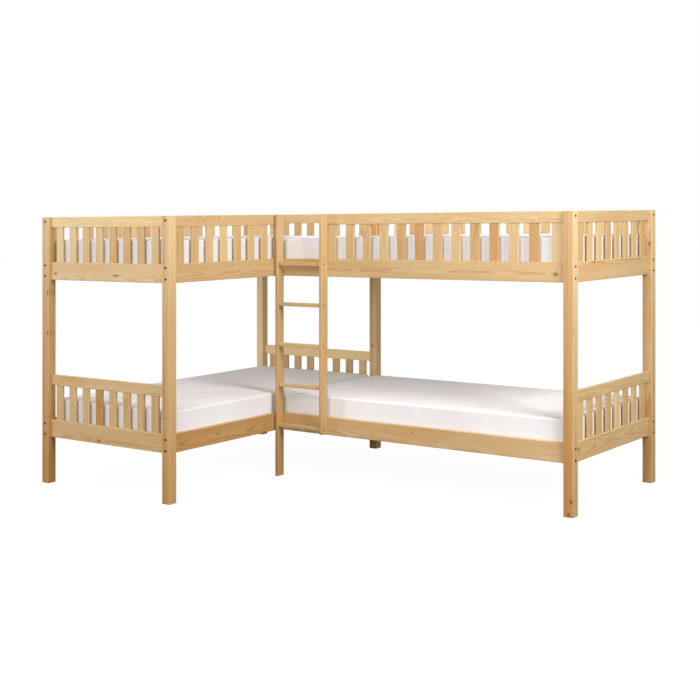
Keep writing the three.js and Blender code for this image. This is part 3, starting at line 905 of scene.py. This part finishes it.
def staple_spots():
    """Two staples where each deck slat crosses a strap, seen from below."""
    spots = []
    inset = STRAP_INSET + STRAP_WIDTH / 2
    for name, run_axis in DECKS.items():
        low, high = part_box(name)
        step = ((high - low)[run_axis] - DECK_SLAT_WIDTH) / (DECK_SLATS - 1)
        for i in range(DECK_SLATS):
            for side in (low[1 - run_axis] + inset, high[1 - run_axis] - inset):
                for shift in (-STAPLE_SHIFT, STAPLE_SHIFT):
                    place = Vector((0, 0, low.z - STAPLE_WIRE * STAPLE_SUNK_SHARE))
                    place[run_axis] = low[run_axis] + DECK_SLAT_WIDTH / 2 + i * step + shift
                    place[1 - run_axis] = side
                    spots.append((place, run_axis))
    return spots


def fastenings():
    bolt = sunk_head(BOLT_RADIUS, BOLT_PROUD, BOLT_SEGMENTS)
    screw = sunk_head(SCREW_RADIUS, SCREW_PROUD, SCREW_SEGMENTS)
    heads = [
        ("post_bolts", bolt, post_bolt_spots()),
        ("rung_screws", screw, small_screw_spots()),
        ("ledger_screws", screw, ledger_screw_spots()),
        ("bracket_screws", screw, bracket_screw_spots()),
    ]
    for name, head, spots in heads:
        new_piece(name, spread(head, spots, facing), BRONZE, "frame")
    staples = spread(staple_crown(), staple_spots(), crossing_strap)
    new_piece("deck_staples", staples, WIRE, "frame")


fastenings()


# Mattresses: a firm foam slab in a plain white knitted cover
MATTRESSES = {
    "mattress_a_lower": "mattress_a_low",
    "mattress_a_upper": "mattress_a_high",
    "mattress_b_lower": "mattress_b_low",
    "mattress_b_upper": "mattress_b_high",
}
MATTRESS_LENGTH, MATTRESS_WIDTH, MATTRESS_THICKNESS = size_of("mattress_b_lower")

# Shape of a cover. Its grid has a line close to every rounded edge, which keeps the edge crisp.
COVER_SIDE_INSET = 0.001
COVER_TOP_INSET = 0.004
COVER_CORNER_CUT = 0.036
COVER_CORNER_ROUND = 0.012
COVER_CORNER_SEGMENTS = 3
OPEN_CORNER_ROUND = 0.005
OPEN_CORNER_HOLD = 0.007
COVER_EDGE = 0.009
COVER_EDGE_SEGMENTS = 4
COVER_EDGE_HOLD = 0.006
COVER_CELL = 0.042
LEAST_UPRIGHT = 0.01
INNER_CORNER_DROP = 0.013
INNER_CORNER_REACH = 0.95

# Cloth run that swells a cover
SWELL_CAP = 0.0035
PRESSURE = 4.0
CLOTH_QUALITY = 5
CLOTH_STRETCH = 60
CLOTH_BENDING = 4
SIMULATED_FRAMES = 20

# Knit, seams and colour of a cover, with painted shade in the grooves of the knit and the seams
COVER_THREAD = 0.0014
SEAM_HEIGHTS = (0.020, 0.143)
SEAM_WIDTH = 0.0016
STITCH_LENGTH = 0.0085
SEAM_RELIEF = -6.0
STITCH_RELIEF = 3.0
TICKING_SHADE = paint(237, 233, 234)
TICKING_LIGHT = paint(242, 240, 240)
KNIT_GROOVE_SHADE = (0.95, 0.945, 0.94, 1)
SEAM_GROOVE_SHADE = (0.8, 0.79, 0.78, 1)
SEAM_GROOVE_SHADE_WEIGHT = 0.25
KNIT_BUMP = 0.3
KNIT_DEPTH = 0.0004


def ticking(level):
    """White knitted cover with a stitched seam along its lower and upper side edges."""
    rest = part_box(f"mattress_a_{level}")[0].z
    material, recipe, surface = new_material(f"white_ticking_{level}")
    place = recipe.node("TexCoord").outputs["Object"]
    parts = recipe.parts(place)
    x, y, z = (
        recipe.sum("SINE", recipe.sum("MULTIPLY", part, 2 * math.pi / COVER_THREAD)) for part in parts
    )
    knit = recipe.sum("MULTIPLY_ADD", x, y, recipe.sum("MULTIPLY", recipe.sum("ADD", x, y), z))
    round_trip = recipe.sum("ADD", parts[0], parts[1])
    stitch = recipe.sum("SINE", recipe.sum("MULTIPLY", round_trip, 2 * math.pi / STITCH_LENGTH))
    height = recipe.sum("SUBTRACT", parts[2], rest)
    groove = 0.0
    for seam in SEAM_HEIGHTS:
        off = recipe.sum("ABSOLUTE", recipe.sum("SUBTRACT", height, seam))
        groove = recipe.sum("MAXIMUM", recipe.scale(off, 0.0, SEAM_WIDTH, 1.0, 0.0), groove)
    sewn = recipe.sum("MULTIPLY", groove, recipe.scale(stitch, -0.4, 0.1))
    soft = recipe.cloud(place, 3.5, 3.0)
    colour = recipe.tint(recipe.scale(soft, 0.3, 0.7), TICKING_SHADE, TICKING_LIGHT)
    # Painted shade: the knit's grooves and the seams' grooves are darker.
    knit_groove_shade = recipe.scale(knit, -1.0, 1.0, 0.3, 0.0)
    colour = recipe.tint(knit_groove_shade, colour, KNIT_GROOVE_SHADE, "MULTIPLY")
    seam_groove_shade = recipe.sum("MULTIPLY", groove, SEAM_GROOVE_SHADE_WEIGHT)
    colour = recipe.tint(seam_groove_shade, colour, SEAM_GROOVE_SHADE, "MULTIPLY")
    stitched = recipe.sum("MULTIPLY_ADD", sewn, STITCH_RELIEF, knit)
    relief = recipe.sum("MULTIPLY_ADD", groove, SEAM_RELIEF, stitched)
    recipe.feed(surface.inputs["Base Color"], colour)
    recipe.feed(surface.inputs["Roughness"], recipe.scale(soft, 0.2, 0.8, 0.85, 0.95))
    recipe.feed(surface.inputs["Normal"], recipe.bump(relief, KNIT_BUMP, KNIT_DEPTH))
    surface.inputs["Sheen Weight"].default_value = 0.3
    surface.inputs["Sheen Roughness"].default_value = 0.6
    surface.inputs["Specular IOR Level"].default_value = 0.3
    return material


def is_upright(edge):
    return abs(edge.verts[0].co.z - edge.verts[1].co.z) > LEAST_UPRIGHT


def in_open_corner(edge):
    """The front left corner of bunk B's mattresses has no post beside it, so it isn't cut."""
    middle = (edge.verts[0].co + edge.verts[1].co) / 2
    return middle.x < 0 and middle.y < 0


def ease(shape, edges, offset, segments):
    """Cuts edges off with one segment, or rounds them with more."""
    if edges:
        bmesh.ops.bevel(
            shape, geom=edges, offset=offset, segments=segments, profile=0.5, material=-1,
            affect="EDGES",
        )


def cover_blank(one_open):
    """A slab a little smaller than the mattress, standing on Z 0, its corners cut past the posts."""

    def corners(is_open):
        uprights = [edge for edge in shape.edges if is_upright(edge)]
        return [edge for edge in uprights if (one_open and in_open_corner(edge)) == is_open]

    height = MATTRESS_THICKNESS - COVER_TOP_INSET
    size = Vector((MATTRESS_LENGTH - 2 * COVER_SIDE_INSET, MATTRESS_WIDTH - 2 * COVER_SIDE_INSET, height))
    shape = bmesh.new()
    bmesh.ops.create_cube(shape, size=1.0)
    bmesh.ops.scale(shape, vec=size, verts=shape.verts)
    ease(shape, corners(False), COVER_CORNER_CUT, 1)
    ease(shape, corners(True), OPEN_CORNER_ROUND, COVER_CORNER_SEGMENTS)
    ease(shape, corners(False), COVER_CORNER_ROUND, COVER_CORNER_SEGMENTS)
    level_edges = [edge for edge in shape.edges if not is_upright(edge)]
    ease(shape, level_edges, COVER_EDGE, COVER_EDGE_SEGMENTS)
    for axis in range(3):
        half = size[axis] / 2 - COVER_EDGE - COVER_EDGE_HOLD
        cells = max(2, round(2 * half / COVER_CELL))
        lines = [-half + 2 * half * i / cells for i in range(cells + 1)]
        if one_open and axis < 2:
            lines.append(OPEN_CORNER_HOLD - size[axis] / 2)
        for line in lines:
            normal = Vector((0, 0, 0))
            normal[axis] = 1
            bmesh.ops.bisect_plane(
                shape, geom=[*shape.verts, *shape.edges, *shape.faces], dist=1e-6,
                plane_co=normal * line, plane_no=normal,
            )
    bmesh.ops.translate(shape, verts=shape.verts, vec=(0, 0, height / 2))
    return shape


def plumped(piece):
    """Blows the cover up with a short cloth run, and caps how far each point may move."""
    cloth = piece.modifiers.new("plump", "CLOTH")
    settings = cloth.settings
    settings.quality = CLOTH_QUALITY
    settings.use_pressure = True
    settings.uniform_pressure_force = PRESSURE
    settings.effector_weights.gravity = 0
    settings.tension_stiffness = CLOTH_STRETCH
    settings.compression_stiffness = CLOTH_STRETCH
    settings.bending_stiffness = CLOTH_BENDING
    cloth.collision_settings.use_collision = False
    start = [vert.co.copy() for vert in piece.data.vertices]
    scene = bpy.context.scene
    for number in range(1, SIMULATED_FRAMES + 1):
        scene.frame_set(number)
    swollen = piece.evaluated_get(bpy.context.evaluated_depsgraph_get())
    moved = [vert.co.copy() for vert in swollen.data.vertices]
    piece.modifiers.remove(cloth)
    scene.frame_set(1)
    for vert, old, new in zip(piece.data.vertices, start, moved):
        shift = new - old
        if shift.length > SWELL_CAP:
            shift = shift.normalized() * SWELL_CAP
        vert.co = old + shift
        vert.co.z = max(vert.co.z, 0.0)


def cover_pattern(one_open):
    """One cover, made once for each bunk: its two mattresses are the same model."""
    mesh = pattern_of(cover_blank(one_open), "cover_pattern")
    piece = bpy.data.objects.new("cover_pattern", mesh)
    bpy.context.scene.collection.objects.link(piece)
    plumped(piece)
    smooth = piece.modifiers.new("smooth", "SUBSURF")
    smooth.levels = 1
    smooth.render_levels = 1
    finished = bpy.data.meshes.new_from_object(
        piece.evaluated_get(bpy.context.evaluated_depsgraph_get())
    )
    bpy.data.objects.remove(piece)
    return finished


def drop_to_inner_corner(shape, name):
    """The upper mattresses lie a little lower where the two bunks meet."""
    low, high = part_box(name)
    for vert in shape.verts:
        away = high.y - vert.co.y if "_a_" in name else vert.co.x - low.x
        share = min(max(1 - away / INNER_CORNER_REACH, 0.0), 1.0)
        eased = share * share * (3 - 2 * share)
        vert.co.z -= INNER_CORNER_DROP * eased * (vert.co.z - low.z) / MATTRESS_THICKNESS


def mattresses():
    patterns = {"a": cover_pattern(False), "b": cover_pattern(True)}
    cloths = {level: ticking(level) for level in ("lower", "upper")}
    for name, body in MATTRESSES.items():
        low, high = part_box(name)
        bunk, level = name.split("_")[1:]
        centre = (low + high) / 2
        shape = bmesh.new()
        shape.from_mesh(patterns[bunk])
        turn = Matrix.Rotation(math.pi / 2 if bunk == "a" else 0, 4, "Z")
        place = Matrix.Translation((centre.x, centre.y, low.z))
        bmesh.ops.transform(shape, matrix=place @ turn, verts=shape.verts)
        if level == "upper":
            drop_to_inner_corner(shape, name)
        for face in shape.faces:
            face.smooth = True
        piece = new_piece("cover_" + name, shape, cloths[level], body)
        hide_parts(name)


mattresses()


# Floor and light
FLOOR_RADIUS = 40
FLOOR_DROP = 0.0005
FLOOR_PAINT = 0.1
FLOOR_BOUNCE = 0.15
FLOOR_GLOW = 0.955
WORLD_FILL = 0.46


def pale_floor():
    """A white floor: seen, it glows evenly and keeps a faint shadow; unseen, it is a soft grey."""
    shape = bmesh.new()
    bmesh.ops.create_circle(shape, cap_ends=True, segments=64, radius=FLOOR_RADIUS)
    bmesh.ops.translate(shape, verts=shape.verts, vec=(0, 0, -FLOOR_DROP))
    floor = bpy.data.objects.new("floor", pattern_of(shape, "floor"))
    bpy.context.scene.collection.objects.link(floor)
    material = bpy.data.materials.new("pale_floor")
    material.use_nodes = True
    tree = material.node_tree
    recipe = Recipe(tree)
    tree.nodes.remove(tree.nodes["Principled BSDF"])
    seen = recipe.node("LightPath").outputs["Is Camera Ray"]
    paint_seen = recipe.node("BsdfDiffuse")
    paint_seen.inputs["Color"].default_value = (FLOOR_PAINT, FLOOR_PAINT, FLOOR_PAINT, 1)
    glow = recipe.node("Emission")
    glow.inputs["Strength"].default_value = FLOOR_GLOW
    both = recipe.node("AddShader")
    recipe.feed(both.inputs[0], paint_seen.outputs[0])
    recipe.feed(both.inputs[1], glow.outputs[0])
    plain = recipe.node("BsdfDiffuse")
    plain.inputs["Color"].default_value = (FLOOR_BOUNCE, FLOOR_BOUNCE, FLOOR_BOUNCE, 1)
    choice = recipe.node("MixShader")
    recipe.feed(choice.inputs[0], seen)
    recipe.feed(choice.inputs[1], plain.outputs[0])
    recipe.feed(choice.inputs[2], both.outputs[0])
    recipe.feed(tree.nodes["Material Output"].inputs["Surface"], choice.outputs[0])
    floor.data.materials.append(material)


def studio_world():
    """White where it is seen, straight or in a gloss, and a weaker fill light on the bed."""
    world = bpy.data.worlds.new("white_studio")
    bpy.context.scene.world = world
    world.use_nodes = True
    tree = world.node_tree
    recipe = Recipe(tree)
    path = recipe.node("LightPath").outputs
    seen = recipe.sum("MAXIMUM", path["Is Camera Ray"], path["Is Glossy Ray"])
    seen = recipe.sum("MAXIMUM", seen, path["Is Transmission Ray"])
    background = tree.nodes["Background"]
    background.inputs["Color"].default_value = (1, 1, 1, 1)
    recipe.feed(background.inputs["Strength"], recipe.pick(seen, WORLD_FILL, 1.0))


# Lamps: where each stands and what it aims at, its width and height, and its power in watts
SOFTBOXES = {
    "left_softbox": ((-6.6, -5.4, 2.9), (-0.3, -0.2, 0.9), (1.4, 2.8), 190),
    "front_softbox": ((0.2, -3.0, 3.4), (0.2, 0, 0.9), (3.4, 1.2), 45),
    "low_softbox": ((1.0, -6.0, 1.7), (0, 0.5, 0.8), (3.4, 1.8), 85),
    "right_softbox": ((4.4, -1.3, 3.3), (0.8, 0, 0.9), (1.6, 2.6), 215),
}


def softbox(name, place, aim, size, power):
    data = bpy.data.lights.new(name, "AREA")
    data.shape = "RECTANGLE"
    data.size, data.size_y = size
    data.energy = power
    lamp = bpy.data.objects.new(name, data)
    bpy.context.scene.collection.objects.link(lamp)
    lamp.location = place
    lamp.rotation_euler = (Vector(aim) - Vector(place)).to_track_quat("-Z", "Y").to_euler()


pale_floor()
studio_world()
for lamp_name, setting in SOFTBOXES.items():
    softbox(lamp_name, *setting)

bpy.context.scene.view_settings.view_transform = "Standard"
